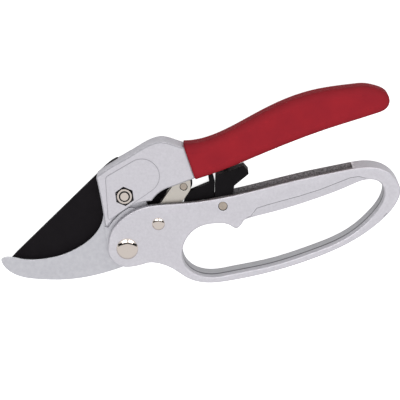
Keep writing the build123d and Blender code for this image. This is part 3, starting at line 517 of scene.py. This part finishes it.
    def build(self, nodes: dict[str, bpy.types.Object], wardrobe: Wardrobe) -> None:
        """Dress the lower handle's nodes.

        Args:
            nodes: The CAD nodes by name.
            wardrobe: Where the materials come from.
        """
        self.casting(nodes["lower_handle"], wardrobe)
        for name in ("handle_rivet", "link_rivet"):
            dress(nodes[name], [wardrobe.of(NICKEL)])
        dress(nodes["hub_washers"], [wardrobe.of(TURNED_PIN)])
        dress(nodes["lock_pin"], [wardrobe.of(TURNED_PIN), wardrobe.of(BLACK_FLATS_AND_RIM_SHADE)], rim_face)
        dress(nodes["return_spring"], [wardrobe.of(MOULDED_NYLON)])


@dataclass
class RatchetLink:
    """Pressed link with its pin, spacer and coiled spring."""

    foot: tuple[float, float] = (-20.7 * MM, -19.5 * MM)
    coil_radius: float = 2.8 * MM
    coil_low: float = 6.77 * MM
    coil_high: float = 9.33 * MM
    coil_start: float = math.radians(-64.0)
    coil_turn: float = math.radians(510.82)
    wire: float = 0.3 * MM
    low_leg: float = 9.0 * MM
    high_leg: float = 8.0 * MM
    steps: int = 72
    sides: int = 12

    def wire_line(self) -> list[Vector]:
        """Trace the spring's wire from one leg's end, round the coil, to the other.

        Returns:
            Points along the middle of the wire.
        """
        line = []
        for step in range(self.steps + 1):
            share = step / self.steps
            angle = self.coil_start - share * self.coil_turn
            line.append(Vector((self.foot[0] + self.coil_radius * math.cos(angle),
                                self.foot[1] + self.coil_radius * math.sin(angle),
                                self.coil_low + share * (self.coil_high - self.coil_low))))
        slope = (self.coil_high - self.coil_low) / (self.coil_turn * self.coil_radius)
        ends = []
        for angle in (self.coil_start, self.coil_start - self.coil_turn):
            ends.append(Vector((math.sin(angle), -math.cos(angle), slope)).normalized())
        return [line[0] - ends[0] * self.low_leg, *line, line[-1] + ends[1] * self.high_leg]

    def spring(self, wardrobe: Wardrobe) -> None:
        """Draw the spring as one round wire.

        Args:
            wardrobe: Where the materials come from.
        """
        line = self.wire_line()
        shape = bmesh.new()
        rings = []
        for place, spot in enumerate(line):
            run = (line[min(place + 1, len(line) - 1)] - line[max(place - 1, 0)]).normalized()
            out = run.cross(Vector((0, 0, 1))).normalized()
            rise = out.cross(run)
            turns = [math.tau * side / self.sides for side in range(self.sides)]
            rings.append([shape.verts.new(spot + (out * math.cos(turn) + rise * math.sin(turn)) * self.wire)
                          for turn in turns])
        for first, second in zip(rings, rings[1:]):
            for side in range(self.sides):
                after = (side + 1) % self.sides
                shape.faces.new((first[side], first[after], second[after], second[side]))
        shape.faces.new(rings[0])
        shape.faces.new(list(reversed(rings[-1])))
        bmesh.ops.recalc_face_normals(shape, faces=shape.faces)
        mesh = bpy.data.meshes.new("wound_spring")
        shape.to_mesh(mesh)
        shape.free()
        piece = bpy.data.objects.new("wound_spring", mesh)
        bpy.context.scene.collection.objects.link(piece)
        dress(piece, [wardrobe.of(DRAWN_WIRE)], angle=60.0)
        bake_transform(piece)
        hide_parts("link_spring")

    def build(self, nodes: dict[str, bpy.types.Object], wardrobe: Wardrobe) -> None:
        """Dress the link's nodes.

        Args:
            nodes: The CAD nodes by name.
            wardrobe: Where the materials come from.
        """
        dress(nodes["ratchet_link"], [wardrobe.of(PRESSED_STRIP)])
        dress(nodes["link_spacer"], [wardrobe.of(TURNED_PIN)])
        dress(nodes["ratchet_pin"], [wardrobe.of(TURNED_PIN), wardrobe.of(BLACK_FLATS_AND_RIM_SHADE)], rim_face)
        self.spring(wardrobe)


@dataclass
class ThumbLock:
    """Moulded thumb lock."""

    def lock_face(self, face: bpy.types.MeshPolygon, mesh: bpy.types.Mesh) -> int:
        """Pick slot 1 for the slanted top, which takes a grey painted reflection, and slot 0 elsewhere."""
        return 1 if face.normal.y > 0.8 and abs(face.normal.z) < 0.2 and face.center.y > 0.0 else 0

    def build(self, nodes: dict[str, bpy.types.Object], wardrobe: Wardrobe) -> None:
        """Dress the lock.

        Args:
            nodes: The CAD nodes by name.
            wardrobe: Where the materials come from.
        """
        dress(nodes["lock_lever"], [wardrobe.of(MOULDED_NYLON), wardrobe.of(NYLON_TOP_REFLECTION)], self.lock_face)


@dataclass
class Studio:
    """Pale floor, soft lamps and the camera of the photograph."""

    look_at: Vector = field(default_factory=lambda: Vector((0.392, -8.968, 8.0)) * MM)
    distance: float = 950 * MM
    tilt: float = math.radians(14.3)
    scale: float = 0.51 * MM
    pixels: int = 400
    sensor: float = 36.0
    floor_size: float = 6.0
    floor_drop: float = 0.2 * MM
    paper_seen: float = 0.8
    paper_bounce: float = 0.5
    glow_shine: float = 0.15
    glow_camera: float = 0.65
    fill: float = 0.5
    strip_steps: int = 20
    strip_step: float = 0.25
    strip_half: float = 0.07
    strip_spread: float = 0.13
    window_size: tuple[float, float] = (0.75, 0.45)
    window_power: float = 4.5

    def camera(self) -> None:
        """Place the camera above the shears, leaning towards the sleeved handle."""
        data = bpy.data.cameras.new("photo camera")
        data.sensor_width = self.sensor
        data.lens = self.sensor * self.distance / (self.scale * self.pixels)
        data.clip_start, data.clip_end = 0.01, 20.0
        eye = bpy.data.objects.new("photo camera", data)
        back = Vector((0.0, math.sin(self.tilt), math.cos(self.tilt)))
        eye.location = self.look_at + back * self.distance
        eye.rotation_euler = (-self.tilt, 0.0, 0.0)
        bpy.context.scene.collection.objects.link(eye)
        bpy.context.scene.camera = eye

    def white(self, tree: bpy.types.NodeTree) -> bpy.types.NodeSocket:
        """Tell the rays that should see a white studio.

        Args:
            tree: The tree that needs the test.

        Returns:
            A socket that is 1 for camera, glossy and transmission rays.
        """
        path = add_node(tree, "ShaderNodeLightPath")
        seen = add_node(tree, "ShaderNodeMath", {
            0: path.outputs["Is Camera Ray"], 1: path.outputs["Is Glossy Ray"]}, operation="MAXIMUM")
        return add_node(tree, "ShaderNodeMath", {
            0: seen.outputs[0], 1: path.outputs["Is Transmission Ray"]}, operation="MAXIMUM").outputs[0]

    def floor(self) -> None:
        """Lay the floor, white to the camera with a faint shadow."""
        bpy.ops.mesh.primitive_plane_add(size=self.floor_size, location=(0, 0, -self.floor_drop))
        plane = bpy.context.object
        plane.name = "floor"
        made = bpy.data.materials.new("white studio paper")
        made.use_nodes = True
        tree = made.node_tree
        tree.nodes.clear()
        paper = add_node(tree, "ShaderNodeBsdfDiffuse", {"Color": (*[self.paper_seen] * 3, 1.0)})
        bounce = add_node(tree, "ShaderNodeBsdfDiffuse", {"Color": (*[self.paper_bounce] * 3, 1.0)})
        path = add_node(tree, "ShaderNodeLightPath")
        level = add_node(tree, "ShaderNodeMath", {
            0: path.outputs["Is Camera Ray"], 1: self.glow_camera, 2: self.glow_shine}, operation="MULTIPLY_ADD")
        glow = add_node(tree, "ShaderNodeEmission", {"Strength": level.outputs[0]})
        both = add_node(tree, "ShaderNodeAddShader", {0: paper.outputs[0], 1: glow.outputs[0]})
        mix = add_node(tree, "ShaderNodeMixShader", {0: self.white(tree), 1: bounce.outputs[0], 2: both.outputs[0]})
        add_node(tree, "ShaderNodeOutputMaterial", {"Surface": mix.outputs[0]})
        plane.data.materials.append(made)

    def flag(self) -> None:
        """Hang a long dark strip over the bench, which only shows as an arc in bright metal."""
        shape = bmesh.new()
        along, over = Vector((1.0, 0.0, 0.0)), Vector((0.0, 0.82, -0.57))
        rows = []
        for step in range(-self.strip_steps, self.strip_steps + 1):
            reach = step * self.strip_step
            half = self.strip_half + self.strip_spread * abs(reach)
            middle = along * reach + Vector((0.0, 0.57, 0.82))
            rows.append((shape.verts.new(middle - over * half), shape.verts.new(middle + over * half)))
        for first, second in zip(rows, rows[1:]):
            shape.faces.new((first[0], second[0], second[1], first[1]))
        mesh = bpy.data.meshes.new("dark_strip")
        shape.to_mesh(mesh)
        shape.free()
        card = bpy.data.objects.new("dark_strip", mesh)
        bpy.context.scene.collection.objects.link(card)
        made = bpy.data.materials.new("black felt")
        made.use_nodes = True
        made.node_tree.nodes.clear()
        felt = add_node(made.node_tree, "ShaderNodeBsdfDiffuse", {"Color": linear("#1C1A18")})
        add_node(made.node_tree, "ShaderNodeOutputMaterial", {"Surface": felt.outputs[0]})
        mesh.materials.append(made)
        card.visible_camera = card.visible_diffuse = card.visible_shadow = card.visible_transmission = False

    def lamp(self, name: str, place: Sequence[float], size: tuple[float, float], power: float,
             shine_only: bool = False) -> None:
        """Hang a soft box that faces the shears.

        Args:
            name: The lamp's name.
            place: Where it hangs, in metres.
            size: Its width and height, in metres.
            power: Its power, in watts.
            shine_only: The lamp shows only in gloss; others light the part and don't show in it.
        """
        data = bpy.data.lights.new(name, "AREA")
        data.shape, data.energy = "RECTANGLE", power
        data.size, data.size_y = size
        box = bpy.data.objects.new(name, data)
        box.location = place
        box.rotation_euler = (Vector((0, 0, 0)) - Vector(place)).to_track_quat("-Z", "Y").to_euler()
        bpy.context.scene.collection.objects.link(box)
        box.visible_diffuse, box.visible_glossy = not shine_only, shine_only

    def world(self) -> None:
        """Fill the studio with even light, white where it is seen."""
        made = bpy.data.worlds.new("studio")
        made.use_nodes = True
        tree = made.node_tree
        tree.nodes.clear()
        fill = add_node(tree, "ShaderNodeBackground", {"Color": (0.96, 0.98, 1.0, 1.0), "Strength": self.fill})
        seen = add_node(tree, "ShaderNodeBackground", {"Color": (1.0, 1.0, 1.0, 1.0), "Strength": 1.0})
        mix = add_node(tree, "ShaderNodeMixShader", {0: self.white(tree), 1: fill.outputs[0], 2: seen.outputs[0]})
        add_node(tree, "ShaderNodeOutputWorld", {"Surface": mix.outputs[0]})
        bpy.context.scene.world = made

    def build(self) -> None:
        """Set up the whole studio."""
        bpy.context.scene.view_settings.view_transform = "Standard"
        self.camera()
        self.world()
        self.floor()
        self.flag()
        self.lamp("key", (0.05, 0.02, 1.35), (0.8, 0.8), 9.5)
        for name, side in (("left window", -0.5), ("right window", 0.5)):
            self.lamp(name, (side, 0.85, 0.66), self.window_size, self.window_power, shine_only=True)


def main() -> None:
    """Build every sub-assembly in order, then the studio."""
    logging.basicConfig(level=logging.INFO)
    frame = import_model()
    nodes = frame["nodes"]
    wardrobe = Wardrobe()
    for group in (UpperHandle(), HookJaw(), LowerHandle(), RatchetLink(), ThumbLock()):
        group.build(nodes, wardrobe)
        LOG.info("built %s", type(group).__name__)
    Studio().build()


if __name__ == "__main__":
    main()
